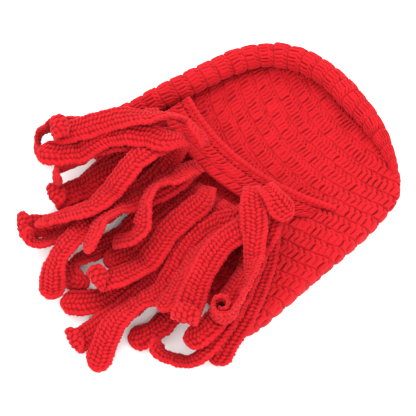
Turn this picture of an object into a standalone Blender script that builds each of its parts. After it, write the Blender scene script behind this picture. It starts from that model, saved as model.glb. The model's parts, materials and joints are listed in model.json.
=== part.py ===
"""Crocheted octopus hat with a tentacle beard mask, lying on its back.

World frame: metres, +Z up from the table, +Y towards the crown, +X across the hat.
Shapes are worked out from the neck edge of the back panel, and the whole is then moved so
that the origin lies under the middle of the back panel.
"""

import math

import bmesh
import bpy
import numpy as np

MM = 0.001
ORIGIN_FROM_NECK = 0.110

# Hat, laid flat
HAT_LENGTH = 0.252
NECK_HALF_WIDTH = 0.137
SIDE_TAPER = 0.11
DOME_START = 0.150
DOME_POWER = 2.6
FABRIC = 0.008
FABRIC_ROUNDING = 0.0025
GAP = 0.0006

# Rolled forehead rim on the far side and crown, and the fold that carries it to the neck
RIM_RADIUS = 0.0125
RIM_START_Y = 0.092
RIM_END_ANGLE = 66.0
RIM_END_SCALE = 0.62
FOLD_NECK_SCALE = 0.60

# Cheek layer on the near side
CHEEK_INNER_X = 0.074
CHEEK_TOP_Y = 0.196
CHEEK_INSET = 0.0015

# Mask band and its rope-like top edge
MASK_TOP_LOW = 0.103
MASK_TOP_CENTRE_X = -0.060
MASK_TOP_RISE = 2.58
MASK_FAR_X = -0.0975
MASK_NEAR_X = 0.072
MASK_DEPTH = 0.032
MASK_FAR_Z = 0.0260
MASK_NEAR_Z = 0.0145
MASK_THICKNESS = 0.006
MASK_ROUNDING = 0.0016
EDGING_RADIUS = 0.0034
EDGING_LIFT = 0.001

# Tentacles
STRIP_WIDTH = 0.022
STRIP_THICKNESS = 0.0058
STRIP_GAP = 0.0009
ROOT_ROWS = (-0.0095, 0.0000, 0.0105)
ROOT_SHARE = 0.62
ROOT_TAPER = 0.030
RING_STEP = 0.0085
TIP_ROUNDING = 0.013
SETTLE_RADIUS = 0.020
SETTLE_SLOPE = 1.0
CELL = 0.0015
FIELD_X = (-0.200, 0.190)
FIELD_Y = (-0.180, 0.262)

# Hinges: where each lifted piece turns. The layers turn about the line of the roots.
ROOT_LINE_X = -0.095
ROOT_LINE_Y = 0.0895
ROOT_LINE_SLOPE = 0.250
MASK_HINGE = (-0.014, 0.1276, 0.021)
UNDER_HINGE = (-0.020, 0.028)
MIDDLE_HINGE = (-0.020, 0.032)
UNDER_LAST = 11
LINE_HINGES = {
    "tentacle_17": ("middle_layer_hinge", 0.030, 0.034),
    "tentacle_19": ("tentacle_17", 0.035, 0.040),
    "tentacle_20": ("middle_layer_hinge", -0.055, 0.052),
    "tentacle_21": ("tentacle_20", -0.045, 0.056),
    "tentacle_23": ("middle_layer_hinge", -0.012, 0.038),
    "tentacle_25": ("tentacle_19", 0.025, 0.046),
}
ROOT_HINGES = {
    "tentacle_22": "tentacle_21",
    "tentacle_24": "tentacle_21",
    "tentacle_26": "tentacle_25",
}

RED = (0.72, 0.016, 0.028, 1.0)
YARN_ROUGHNESS = 0.85

# Each tentacle: name, root row on the mask band, root's distance across in millimetres, the
# rest of its route in millimetres, roll in degrees spread evenly along the route (0 flat,
# 90 on edge), tip. They are laid in this order, lowest first.
TENTACLES = (
    ("tentacle_01", 0, -90, ((-91, 29), (-86, -8), (-84, -56)), (0, 0, 0), None),
    ("tentacle_02", 0, -58, ((-55, 31), (-55, -7), (-61, -53), (-83, -95)),
     (0, 0, 0), ("ball", 6.5, 270)),
    ("tentacle_03", 0, -27, ((-22, 30), (-20, -28), (-22, -79)),
     (0, 0, 0, 50), ("curl", 12.0, 9.0, 200)),
    ("tentacle_04", 0, 2, ((13, 39), (19, -21), (22, -62), (20, -89), (3, -114)),
     (0, 0, 0, 0), None),
    ("tentacle_05", 0, 30, ((44, 50), (59, 4), (68, -23), (77, -46), (77, -67), (70, -83)),
     (0, 0, 20, 30, 20, 0), None),
    ("tentacle_06", 0, 57, ((88, 62), (113, 25), (127, -3), (137, -33)), (0, 0, 0), None),
    ("tentacle_07", 0, -74, ((-75, 22), (-80, -16), (-85, -54)), (0, 0, 0), ("ball", 7.0, 280)),
    ("tentacle_08", 0, -42, ((-41, 18), (-48, -21), (-47, -62), (-54, -93)),
     (0, 0, 0, 30, 50), ("curl", 10.0, 8.0, -150)),
    ("tentacle_09", 0, -12, ((-4, 40), (2, -9), (2, -38), (-1, -60)), (0, 0, 0), None),
    ("tentacle_10", 0, 16, ((28, 40), (38, -23), (46, -73), (43, -121)),
     (0, 0, 0, 0), ("ball", 5.5, 280)),
    ("tentacle_11", 0, 44, ((74, 64), (99, 27), (118, -8), (127, -36), (122, -52), (107, -65)),
     (0, 0, 0, 20, 40, 50), ("curl", 12.0, 9.0, -110)),
    ("tentacle_12", 1, -95, ((-101, 36), (-117, 17), (-132, -1), (-144, -17), (-148, -29)),
     (0, 10, 40, 70, 80), ("curl", 10.0, 11.0, 190)),
    ("tentacle_13", 0, -72, ((-75, 32), (-87, 8), (-98, -15), (-100, -41)),
     (0, 20, 50, 80), ("curl", 9.0, 10.0, 130)),
    ("tentacle_14", 1, -57, ((-41, 25), (-45, -6), (-41, -35), (-36, -62),
     (-30, -85), (-22, -102), (-3, -121)), (0, 0, 0, 10, 30, 0), None),
    ("tentacle_15", 1, -30, ((-28, 22), (-32, -21), (-26, -45), (-15, -61), (-6, -74)),
     (0, 0, 20, 50, 50), None),
    ("tentacle_16", 0, 32, ((36, 84), (40, 66), (30, 49), (29, 26), (37, 4), (49, -15),
     (54, -34), (52, -60), (55, -86), (64, -105), (78, -126)), (0, 0, 0, 0, 40, 10, 0), None),
    ("tentacle_17", 0, 40, ((47, 81), (53, 58), (47, 35), (48, 13), (56, -6), (66, -26), (77, -49)),
     (0, 20, 60, 50, 30), None),
    ("tentacle_18", 1, 54, ((79, 71), (89, 41), (100, 16), (110, -7), (115, -27), (110, -46)),
     (0, 40, 50, 20, 0), None),
    ("tentacle_19", 1, 42, ((62, 71), (59, 53), (60, 33), (68, 12), (80, -10), (98, -34)),
     (0, 0, 0, 0), ("ball", 8.0, 290)),
    ("tentacle_20", 1, -70, ((-57, 46), (-55, 30), (-52, 6), (-49, -17), (-44, -40),
     (-54, -59), (-65, -78), (-67, -93)), (0, 10, 20, 30, 50), None),
    ("tentacle_21", 1, -44, ((-52, 48), (-66, 38), (-87, 16), (-95, -1),
     (-99, -20), (-108, -40), (-123, -50)), (0, 0, 0, 0), None),
    ("tentacle_22", 2, -31, ((-41, 81), (-60, 80), (-72, 66), (-79, 46),
     (-97, 24), (-108, 1), (-120, -23)), (30, 70, 50, 10, 0, 0), ("ball", 8.0, 290)),
    ("tentacle_23", 0, -8, ((5, 51), (8, 31), (12, 6), (19, -12), (23, -30), (22, -55), (16, -73)),
     (0, 0, 10, 20, 20), ("ball", 7.0, 280)),
    ("tentacle_24", 0, -28, ((-24, 41), (-27, 30), (-27, 17), (-19, 4), (-7, -9),
     (1, -18), (-1, -30), (-14, -39)), (10, 40, 60, 60, 40, 10), None),
    ("tentacle_25", 1, 29, ((49, 77), (64, 68), (80, 56), (98, 41), (113, 22), (122, 2)),
     (0, 0, 30, 70, 90), ("curl", 11.5, 4.0, -460)),
    ("tentacle_26", 1, 40, ((67, 96), (81, 99)), (0, 0, 0), None),
)


def half_width(y):
    """Half the hat's width at this distance from the neck edge."""
    y = np.asarray(y, float)
    straight = NECK_HALF_WIDTH - SIDE_TAPER * np.clip(y, 0.0, None)
    along = np.clip((y - DOME_START) / (HAT_LENGTH - DOME_START), 0.0, 1.0)
    return straight * (1.0 - along**DOME_POWER) ** (1.0 / DOME_POWER)


def outline_point(degrees, inset):
    """A point on the crown's rounded outline: 0 is the near side, 180 the far side."""
    angle = math.radians(degrees)
    power = 2.0 / DOME_POWER
    depth = HAT_LENGTH - DOME_START - inset
    y = DOME_START + depth * abs(math.sin(angle)) ** power
    straight = NECK_HALF_WIDTH - SIDE_TAPER * y - inset
    x = math.copysign(straight * abs(math.cos(angle)) ** power, math.cos(angle))
    return x, y


def side_point(y, side, inset):
    return side * (float(half_width(y)) - inset), y


def mask_top(x):
    return MASK_TOP_LOW + MASK_TOP_RISE * (x - MASK_TOP_CENTRE_X) ** 2


def mask_slope(x):
    return 2 * MASK_TOP_RISE * (x - MASK_TOP_CENTRE_X)


def mask_height(x):
    share = (x - MASK_FAR_X) / (MASK_NEAR_X - MASK_FAR_X)
    return MASK_FAR_Z + (MASK_NEAR_Z - MASK_FAR_Z) * share


def new_object(name, data):
    thing = bpy.data.objects.new(name, data)
    hat.objects.link(thing)
    material = bpy.data.materials.new(name)
    material.use_nodes = True
    shader = material.node_tree.nodes["Principled BSDF"]
    shader.inputs["Base Color"].default_value = RED
    shader.inputs["Roughness"].default_value = YARN_ROUGHNESS
    shader.inputs["Metallic"].default_value = 0.0
    data.materials.append(material)
    return thing


def add_solidify(thing, thickness, offset):
    solid = thing.modifiers.new("Thickness", "SOLIDIFY")
    solid.thickness = thickness
    solid.offset = offset
    solid.use_even_offset = True


def add_bevel(thing, width, segments):
    bevel = thing.modifiers.new("Rounding", "BEVEL")
    bevel.width = width
    bevel.segments = segments
    bevel.limit_method = "ANGLE"
    bevel.angle_limit = math.radians(50)


def flat_panel(name, corners, bottom):
    """A fabric layer from its outline, one fabric thickness deep."""
    mesh = bpy.data.meshes.new(name)
    shape = bmesh.new()
    shape.faces.new([shape.verts.new((x, y, bottom)) for x, y in corners])
    bmesh.ops.recalc_face_normals(shape, faces=shape.faces)
    if shape.faces[:][0].normal.z < 0:
        bmesh.ops.reverse_faces(shape, faces=shape.faces)
    shape.to_mesh(mesh)
    shape.free()
    thing = new_object(name, mesh)
    add_solidify(thing, FABRIC, 1.0)
    add_bevel(thing, FABRIC_ROUNDING, 2)
    return thing


def tube(name, points, radii, resolution):
    """A round roll of fabric along these points."""
    curve = bpy.data.curves.new(name, "CURVE")
    curve.dimensions = "3D"
    curve.bevel_depth = 1.0
    curve.bevel_resolution = resolution
    curve.use_fill_caps = True
    spline = curve.splines.new("POLY")
    spline.points.add(len(points) - 1)
    for knot, place, radius in zip(spline.points, points, radii):
        knot.co = (*place, 1.0)
        knot.radius = radius
    return new_object(name, curve)


def distances(points):
    """How far along the line each of its points lies."""
    return np.concatenate([[0.0], np.cumsum(np.linalg.norm(np.diff(points, axis=0), axis=1))])


def smooth_route(corners, step):
    """Evenly spaced points on a smooth curve through the corners."""
    knots = np.asarray(corners, float) * MM
    ends = np.vstack([2 * knots[0] - knots[1], knots, 2 * knots[-1] - knots[-2]])
    dense = []
    for i in range(1, len(ends) - 2):
        before, here, there, after = ends[i - 1 : i + 3]
        for t in np.arange(0.0, 1.0, 0.05):
            slope = there - before
            bend = 2 * before - 5 * here + 4 * there - after
            turn = 3 * here - before - 3 * there + after
            dense.append(0.5 * (2 * here + slope * t + bend * t**2 + turn * t**3))
    dense.append(knots[-1])
    dense = np.array(dense)
    gone = distances(dense)
    count = max(int(round(gone[-1] / step)), 2)
    at = np.linspace(0.0, gone[-1], count + 1)
    return np.column_stack([np.interp(at, gone, dense[:, k]) for k in (0, 1)])


def with_tip(flat, rolls, tip, step):
    """Adds the tip: plan points, heading, pitch, height above the strip's end, roll."""
    ahead = np.gradient(flat, axis=0)
    heading = np.unwrap(np.arctan2(ahead[:, 1], ahead[:, 0]))
    rise = np.zeros(len(flat))
    pitch = np.zeros(len(flat))
    if tip is None:
        return flat, heading, pitch, rise, rolls
    places, headings, pitches, rises = [flat[-1]], [heading[-1]], [0.0], [0.0]
    total = math.radians(tip[-1])
    first = tip[1] * MM
    last = (tip[2] if tip[0] == "curl" else tip[1] * 0.62) * MM
    length = 0.5 * (first + last) * abs(total)
    count = max(int(round(length / step)), 5)
    for i in range(count):
        share = (i + 0.5) / count
        turn = total / count * (0.5 * (first + last)) / (first + (last - first) * share)
        forward = np.array([math.cos(headings[-1]), math.sin(headings[-1])])
        part = length / count
        if tip[0] == "curl":
            angle = headings[-1] + turn / 2
            forward = np.array([math.cos(angle), math.sin(angle)])
            places.append(places[-1] + forward * part)
            headings.append(headings[-1] + turn)
            pitches.append(0.0)
            rises.append(0.0)
        else:
            angle = pitches[-1] + turn / 2
            places.append(places[-1] + forward * part * math.cos(angle))
            headings.append(headings[-1])
            pitches.append(pitches[-1] + turn)
            rises.append(rises[-1] + part * math.sin(angle))
    flat = np.vstack([flat, places[1:]])
    heading = np.concatenate([heading, headings[1:]])
    pitch = np.concatenate([pitch, pitches[1:]])
    rise = np.concatenate([rise, rises[1:]])
    rolls = np.concatenate([rolls, np.full(count, rolls[-1])])
    return flat, heading, pitch, rise, rolls


def cells(x, y):
    column = np.clip(((x - FIELD_X[0]) / CELL).astype(int), 1, field.shape[0] - 2)
    row = np.clip(((y - FIELD_Y[0]) / CELL).astype(int), 1, field.shape[1] - 2)
    return column, row


def hat_heights():
    """Height of the hat's own upper surface over the table."""
    columns = int((FIELD_X[1] - FIELD_X[0]) / CELL)
    rows = int((FIELD_Y[1] - FIELD_Y[0]) / CELL)
    x, y = np.meshgrid(
        FIELD_X[0] + CELL * (np.arange(columns) + 0.5),
        FIELD_Y[0] + CELL * (np.arange(rows) + 0.5),
        indexing="ij",
    )
    edge = half_width(y)
    inside = (y > -CELL) & (y < HAT_LENGTH) & (np.abs(x) < edge + CELL)
    height = np.where(inside, FABRIC, 0.0)
    cheek = inside & (x > CHEEK_INNER_X - CELL) & (y < CHEEK_TOP_Y)
    height = np.where(cheek, 2 * FABRIC + GAP, height)
    fold = (y > -CELL) & (y < DOME_START) & (x < 2 * RIM_RADIUS - edge + CELL) & inside
    height = np.where(fold, FABRIC + GAP + 2 * RIM_RADIUS, height)
    band = (x > MASK_FAR_X) & (x < MASK_NEAR_X) & (y < mask_top(x) + CELL)
    band &= y > mask_top(x) - MASK_DEPTH - CELL
    height = np.where(band, mask_height(x) + MASK_THICKNESS / 2 + CELL / 2, height)
    return height


def half_widths(count, step):
    """Half the strip's width at each centre point: narrower at the root, round at the tip."""
    gone = np.arange(count) * step
    left = np.clip((gone[-1] - gone) / TIP_ROUNDING, 0.0, 1.0)
    tip = np.sqrt(np.clip(1.0 - (1.0 - left) ** 2, 0.12, 1.0))
    root = ROOT_SHARE + (1.0 - ROOT_SHARE) * np.clip(gone / ROOT_TAPER, 0.0, 1.0)
    return STRIP_WIDTH / 2 * np.minimum(tip, root)


def footprint(place, heading, roll, half_w):
    """Cells under one section of a strip, with its lower and upper surface there."""
    half_t = STRIP_THICKNESS / 2
    across = abs(half_w * math.cos(roll)) + abs(half_t * math.sin(roll))
    upright = abs(half_w * math.sin(roll)) + abs(half_t * math.cos(roll))
    offsets = np.arange(-across, across + CELL / 4, CELL / 2)
    lean = max(abs(math.cos(roll)), 0.05)
    middle = offsets * math.sin(roll) / lean
    lower = np.maximum(-upright, middle - half_t / lean)
    upper = np.minimum(upright, middle + half_t / lean)
    x = place[0] - math.sin(heading) * offsets
    y = place[1] + math.cos(heading) * offsets
    return cells(x, y), lower, upper


def lay(corners, rolls, tip):
    """Settles one strip on what lies below it. Returns its centre line and frames."""
    flat = smooth_route(corners, CELL)
    spread = np.linspace(0, 1, len(flat))
    turned = np.radians(np.interp(spread, np.linspace(0, 1, len(rolls)), rolls))
    lying = len(flat)
    flat, heading, pitch, rise, turned = with_tip(flat, turned, tip, CELL)
    half = half_widths(len(flat), CELL)
    needed = np.zeros(len(flat))
    for i in range(len(flat)):
        (column, row), lower, _ = footprint(flat[i], heading[i], turned[i], half[i])
        if pitch[i]:
            lower = -STRIP_THICKNESS / 2
        needed[i] = (field[column, row] - lower).max() + STRIP_GAP - rise[i]
    ball = tip is not None and tip[0] == "ball"
    base = needed[:lying].copy() if ball else needed.copy()
    if ball:
        base[-1] = max(base[-1], needed[lying:].max())
    gone = np.arange(len(base)) * CELL
    apart = gone[:, None] - gone[None, :]
    sag = np.sqrt(SETTLE_RADIUS**2 + (SETTLE_SLOPE * apart) ** 2) - SETTLE_RADIUS
    height = (base[None, :] - sag).max(axis=1)
    padded = np.concatenate([np.full(3, height[0]), height, np.full(3, height[-1])])
    eased = np.convolve(padded, np.full(7, 1 / 7), mode="valid")
    height = np.maximum(eased, base)
    if ball:
        height = np.concatenate([height, np.full(len(flat) - lying, height[-1])])
    height = height + rise
    for i in range(len(flat)):
        (column, row), _, upper = footprint(flat[i], heading[i], turned[i], half[i])
        if pitch[i]:
            upper = STRIP_THICKNESS / 2
        for across in (-1, 0, 1):
            for along in (-1, 0, 1):
                spot = (column + across, row + along)
                np.maximum.at(field, spot, height[i] + upper)
    return np.column_stack([flat, height]), heading, pitch, turned, half


def strip_sides(centre, heading, roll):
    """Unit vectors across the strip at each centre point."""
    along = np.gradient(centre, axis=0)
    along /= np.linalg.norm(along, axis=1)[:, None]
    level = np.column_stack([-np.sin(heading), np.cos(heading), np.zeros(len(heading))])
    out = np.cross(along, level)
    out /= np.linalg.norm(out, axis=1)[:, None]
    across = np.cos(roll)[:, None] * level + np.sin(roll)[:, None] * out
    normal = np.cross(along, across)
    normal /= np.linalg.norm(normal, axis=1)[:, None]
    return np.cross(normal, along)


def ring_numbers(heading, pitch, gone):
    """Sections to keep: spaced evenly, and closer where the strip bends."""
    kept = [0]
    for i in range(1, len(gone)):
        far = gone[i] - gone[kept[-1]]
        turned = abs(heading[i] - heading[kept[-1]]) + abs(pitch[i] - pitch[kept[-1]])
        if far >= RING_STEP or turned > math.radians(32):
            kept.append(i)
    if kept[-1] != len(gone) - 1:
        if gone[-1] - gone[kept[-1]] < 0.3 * RING_STEP:
            kept.pop()
        kept.append(len(gone) - 1)
    return kept


def root_line(x, z):
    return x, ROOT_LINE_Y + ROOT_LINE_SLOPE * (x - ROOT_LINE_X), z


def hinge(name, place, parent):
    """An empty at a joint, which carries the pieces that turn with it."""
    pivot = bpy.data.objects.new(name, None)
    pivot.empty_display_size = 0.02
    hat.objects.link(pivot)
    attach(pivot, place, parent)
    return pivot


def attach(thing, place, parent):
    """Puts the thing's origin at this place and makes it turn with its parent."""
    anchors[thing.name] = place
    thing.location = place
    if parent is not None:
        thing.parent = bpy.data.objects[parent]
        thing.location = [a - b for a, b in zip(place, anchors[parent])]


def carrier(name, number, start):
    """Where a tentacle turns, and what it turns with."""
    if name in LINE_HINGES:
        parent, x, z = LINE_HINGES[name]
        return root_line(x, z), parent
    if name in ROOT_HINGES:
        return tuple(start), ROOT_HINGES[name]
    layer = "under_layer_hinge" if number <= UNDER_LAST else "middle_layer_hinge"
    return tuple(start), layer


def tentacle(number, name, row, root, route, rolls, tip):
    root_y = mask_top(root * MM) - MASK_DEPTH + ROOT_ROWS[row]
    corners = ((root, root_y / MM),) + route
    centre, heading, pitch, roll, half = lay(corners, rolls, tip)
    across = strip_sides(centre, heading, roll)
    gone = distances(centre)
    place, parent = carrier(name, number, centre[0])
    mesh = bpy.data.meshes.new(name)
    shape = bmesh.new()
    rings = []
    for i in ring_numbers(heading, pitch, gone):
        sides = (centre[i] - across[i] * half[i], centre[i] + across[i] * half[i])
        rings.append([shape.verts.new(side - np.array(place)) for side in sides])
    for back, front in zip(rings, rings[1:]):
        shape.faces.new((back[0], front[0], front[1], back[1]))
    shape.to_mesh(mesh)
    shape.free()
    thing = new_object(name, mesh)
    add_solidify(thing, STRIP_THICKNESS, 0.0)
    attach(thing, place, parent)


def make_hat():
    crown = [outline_point(angle, 0.0) for angle in np.linspace(0, 180, 37)]
    near = [side_point(y, 1, 0.0) for y in np.linspace(0, DOME_START, 6)[:-1]]
    far = [side_point(y, -1, 0.0) for y in np.linspace(DOME_START, 0, 6)[1:]]
    flat_panel("back_panel", near + crown + far, 0.0)

    centre_z = FABRIC + GAP
    rim_y = np.linspace(RIM_START_Y, DOME_START, 5)[:-1]
    rim = [side_point(y, -1, RIM_RADIUS) for y in rim_y]
    rim += [outline_point(a, RIM_RADIUS) for a in np.linspace(180, RIM_END_ANGLE, 18)]
    share = np.clip((np.linspace(0, 1, len(rim)) - 0.72) / 0.28, 0.0, 1.0)
    radii = RIM_RADIUS * (1.0 - (1.0 - RIM_END_SCALE) * share**1.5)
    points = [(x, y, centre_z + r) for (x, y), r in zip(rim, radii)]
    tube("forehead_rim", points, radii, 3)

    fold_y = np.linspace(0.004, RIM_START_Y - 2 * GAP, 7)
    radii = RIM_RADIUS * np.interp(fold_y, (0.0, RIM_START_Y), (FOLD_NECK_SCALE, 1.0))
    fold = [side_point(y, -1, r) for y, r in zip(fold_y, radii)]
    points = [(x, y, centre_z + r) for (x, y), r in zip(fold, radii)]
    tube("far_side_fold", points, radii, 3)

    sides = np.linspace(0.002, DOME_START, 6)[:-1]
    outer = [side_point(y, 1, CHEEK_INSET) for y in sides]
    outer += [outline_point(a, CHEEK_INSET) for a in np.linspace(0, 24, 6)]
    last_x, last_y = outer[-1]
    inner = []
    for t in np.linspace(0.25, 1.0, 5):
        x = last_x + (CHEEK_INNER_X - last_x) * t
        inner.append((x, last_y + (0.166 - last_y) * math.sin(t * math.pi / 2)))
    inner += [(CHEEK_INNER_X, y) for y in (0.12, 0.06, 0.002)]
    flat_panel("near_cheek", outer + inner, FABRIC + GAP)


def from_hinge(points):
    return [tuple(np.array(p) - MASK_HINGE) for p in points]


def make_mask():
    mesh = bpy.data.meshes.new("mask_band")
    shape = bmesh.new()
    across = np.linspace(MASK_FAR_X, MASK_NEAR_X, 15)
    lines = []
    for x in across:
        clear = (EDGING_RADIUS + GAP) * math.hypot(1.0, mask_slope(x))
        inward = np.linspace(clear, MASK_DEPTH, 4)
        points = [(x, mask_top(x) - d, mask_height(x)) for d in inward]
        lines.append([shape.verts.new(p) for p in from_hinge(points)])
    for left, right in zip(lines, lines[1:]):
        for i in range(len(left) - 1):
            shape.faces.new((left[i], left[i + 1], right[i + 1], right[i]))
    shape.to_mesh(mesh)
    shape.free()
    band = new_object("mask_band", mesh)
    add_solidify(band, MASK_THICKNESS, 0.0)
    add_bevel(band, MASK_ROUNDING, 1)
    attach(band, MASK_HINGE, "mask_hinge")

    count = 16
    edge = np.linspace(MASK_FAR_X, MASK_NEAR_X, count)
    points = [(x, mask_top(x), mask_height(x) + EDGING_LIFT) for x in edge]
    edging = tube("mask_edging", from_hinge(points), np.full(count, EDGING_RADIUS), 2)
    attach(edging, MASK_HINGE, "mask_hinge")


for old in list(bpy.data.objects):
    bpy.data.objects.remove(old, do_unlink=True)
hat = bpy.data.collections.new("octopus_hat")
bpy.context.scene.collection.children.link(hat)

anchors = {}
make_hat()
hinge("mask_hinge", MASK_HINGE, None)
make_mask()
hinge("under_layer_hinge", root_line(*UNDER_HINGE), "mask_hinge")
hinge("middle_layer_hinge", root_line(*MIDDLE_HINGE), "under_layer_hinge")
field = hat_heights()
for number, entry in enumerate(TENTACLES, 1):
    tentacle(number, *entry)
for thing in hat.objects:
    if thing.parent is None:
        thing.location.y -= ORIGIN_FROM_NECK
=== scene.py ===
"""Looks of the crocheted octopus hat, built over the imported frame.

The hat's shell, rim, mask and each tentacle are meshes with their stitches in relief. The
layout functions are the part's own, so every piece covers its solid.
"""

import json
import math

import bpy
import numpy as np
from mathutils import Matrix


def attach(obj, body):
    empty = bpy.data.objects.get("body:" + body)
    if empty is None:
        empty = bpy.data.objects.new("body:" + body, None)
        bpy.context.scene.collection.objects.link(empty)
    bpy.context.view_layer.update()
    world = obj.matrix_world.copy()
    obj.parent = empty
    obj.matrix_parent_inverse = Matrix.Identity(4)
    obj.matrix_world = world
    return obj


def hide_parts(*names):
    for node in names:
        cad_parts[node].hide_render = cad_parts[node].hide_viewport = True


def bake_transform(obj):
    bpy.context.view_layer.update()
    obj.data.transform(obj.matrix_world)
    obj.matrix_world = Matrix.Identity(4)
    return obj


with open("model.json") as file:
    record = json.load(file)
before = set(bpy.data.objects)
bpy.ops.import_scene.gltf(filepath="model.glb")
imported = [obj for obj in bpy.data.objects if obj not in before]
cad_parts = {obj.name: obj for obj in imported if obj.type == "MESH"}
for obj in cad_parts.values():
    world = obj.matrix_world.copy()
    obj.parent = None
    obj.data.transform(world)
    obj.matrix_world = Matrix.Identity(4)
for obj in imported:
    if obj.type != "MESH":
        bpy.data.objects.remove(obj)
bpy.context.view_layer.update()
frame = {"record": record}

# Metres in a millimetre, and back. Layout is in metres, stitches are in millimetres.
MM = 0.001
TO_MM = 1000.0

# The frame's origin lies this far from the hat's neck edge
ORIGIN_FROM_NECK = 0.110

# Hat, laid flat
HAT_LENGTH = 0.252
NECK_HALF_WIDTH = 0.137
SIDE_TAPER = 0.11
DOME_START = 0.150
DOME_POWER = 2.6
FABRIC = 0.008
GAP = 0.0006

# Rolled forehead rim on the far side and crown, and the fold that carries it to the neck
RIM_RADIUS = 0.0125
RIM_START_Y = 0.092
RIM_END_ANGLE = 66.0
FOLD_NECK_SCALE = 0.60

# Cheek layer on the near side
CHEEK_INNER_X = 0.074
CHEEK_TOP_Y = 0.196

# Mask band and its rope-like top edge
MASK_TOP_LOW = 0.103
MASK_TOP_CENTRE_X = -0.060
MASK_TOP_RISE = 2.58
MASK_FAR_X = -0.0975
MASK_NEAR_X = 0.072
MASK_DEPTH = 0.032
MASK_FAR_Z = 0.0260
MASK_NEAR_Z = 0.0145
MASK_THICKNESS = 0.006
EDGING_RADIUS = 0.0034
EDGING_LIFT = 0.001

# Tentacles
STRIP_WIDTH = 0.022
STRIP_THICKNESS = 0.0058
STRIP_GAP = 0.0009
ROOT_ROWS = (-0.0095, 0.0000, 0.0105)
ROOT_SHARE = 0.62
ROOT_TAPER = 0.030
TIP_ROUNDING = 0.013
SETTLE_RADIUS = 0.020
SETTLE_SLOPE = 1.0
CELL = 0.0015
FIELD_X = (-0.200, 0.190)
FIELD_Y = (-0.180, 0.262)

# Each tentacle: name, root row on the mask band, root's distance across in millimetres, the
# rest of its route in millimetres, roll in degrees spread evenly along the route (0 flat,
# 90 on edge), tip. They are laid in this order, lowest first.
TENTACLES = (
    ("tentacle_01", 0, -90, ((-91, 29), (-86, -8), (-84, -56)), (0, 0, 0), None),
    ("tentacle_02", 0, -58, ((-55, 31), (-55, -7), (-61, -53), (-83, -95)),
     (0, 0, 0), ("ball", 6.5, 270)),
    ("tentacle_03", 0, -27, ((-22, 30), (-20, -28), (-22, -79)),
     (0, 0, 0, 50), ("curl", 12.0, 9.0, 200)),
    ("tentacle_04", 0, 2, ((13, 39), (19, -21), (22, -62), (20, -89), (3, -114)),
     (0, 0, 0, 0), None),
    ("tentacle_05", 0, 30, ((44, 50), (59, 4), (68, -23), (77, -46), (77, -67), (70, -83)),
     (0, 0, 20, 30, 20, 0), None),
    ("tentacle_06", 0, 57, ((88, 62), (113, 25), (127, -3), (137, -33)), (0, 0, 0), None),
    ("tentacle_07", 0, -74, ((-75, 22), (-80, -16), (-85, -54)), (0, 0, 0), ("ball", 7.0, 280)),
    ("tentacle_08", 0, -42, ((-41, 18), (-48, -21), (-47, -62), (-54, -93)),
     (0, 0, 0, 30, 50), ("curl", 10.0, 8.0, -150)),
    ("tentacle_09", 0, -12, ((-4, 40), (2, -9), (2, -38), (-1, -60)), (0, 0, 0), None),
    ("tentacle_10", 0, 16, ((28, 40), (38, -23), (46, -73), (43, -121)),
     (0, 0, 0, 0), ("ball", 5.5, 280)),
    ("tentacle_11", 0, 44, ((74, 64), (99, 27), (118, -8), (127, -36), (122, -52), (107, -65)),
     (0, 0, 0, 20, 40, 50), ("curl", 12.0, 9.0, -110)),
    ("tentacle_12", 1, -95, ((-101, 36), (-117, 17), (-132, -1), (-144, -17), (-148, -29)),
     (0, 10, 40, 70, 80), ("curl", 10.0, 11.0, 190)),
    ("tentacle_13", 0, -72, ((-75, 32), (-87, 8), (-98, -15), (-100, -41)),
     (0, 20, 50, 80), ("curl", 9.0, 10.0, 130)),
    ("tentacle_14", 1, -57, ((-41, 25), (-45, -6), (-41, -35), (-36, -62),
     (-30, -85), (-22, -102), (-3, -121)), (0, 0, 0, 10, 30, 0), None),
    ("tentacle_15", 1, -30, ((-28, 22), (-32, -21), (-26, -45), (-15, -61), (-6, -74)),
     (0, 0, 20, 50, 50), None),
    ("tentacle_16", 0, 32, ((36, 84), (40, 66), (30, 49), (29, 26), (37, 4), (49, -15),
     (54, -34), (52, -60), (55, -86), (64, -105), (78, -126)), (0, 0, 0, 0, 40, 10, 0), None),
    ("tentacle_17", 0, 40, ((47, 81), (53, 58), (47, 35), (48, 13), (56, -6), (66, -26), (77, -49)),
     (0, 20, 60, 50, 30), None),
    ("tentacle_18", 1, 54, ((79, 71), (89, 41), (100, 16), (110, -7), (115, -27), (110, -46)),
     (0, 40, 50, 20, 0), None),
    ("tentacle_19", 1, 42, ((62, 71), (59, 53), (60, 33), (68, 12), (80, -10), (98, -34)),
     (0, 0, 0, 0), ("ball", 8.0, 290)),
    ("tentacle_20", 1, -70, ((-57, 46), (-55, 30), (-52, 6), (-49, -17), (-44, -40),
     (-54, -59), (-65, -78), (-67, -93)), (0, 10, 20, 30, 50), None),
    ("tentacle_21", 1, -44, ((-52, 48), (-66, 38), (-87, 16), (-95, -1),
     (-99, -20), (-108, -40), (-123, -50)), (0, 0, 0, 0), None),
    ("tentacle_22", 2, -31, ((-41, 81), (-60, 80), (-72, 66), (-79, 46),
     (-97, 24), (-108, 1), (-120, -23)), (30, 70, 50, 10, 0, 0), ("ball", 8.0, 290)),
    ("tentacle_23", 0, -8, ((5, 51), (8, 31), (12, 6), (19, -12), (23, -30), (22, -55), (16, -73)),
     (0, 0, 10, 20, 20), ("ball", 7.0, 280)),
    ("tentacle_24", 0, -28, ((-24, 41), (-27, 30), (-27, 17), (-19, 4), (-7, -9),
     (1, -18), (-1, -30), (-14, -39)), (10, 40, 60, 60, 40, 10), None),
    ("tentacle_25", 1, 29, ((49, 77), (64, 68), (80, 56), (98, 41), (113, 22), (122, 2)),
     (0, 0, 30, 70, 90), ("curl", 11.5, 4.0, -460)),
    ("tentacle_26", 1, 40, ((67, 96), (81, 99)), (0, 0, 0), None),
)


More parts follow.
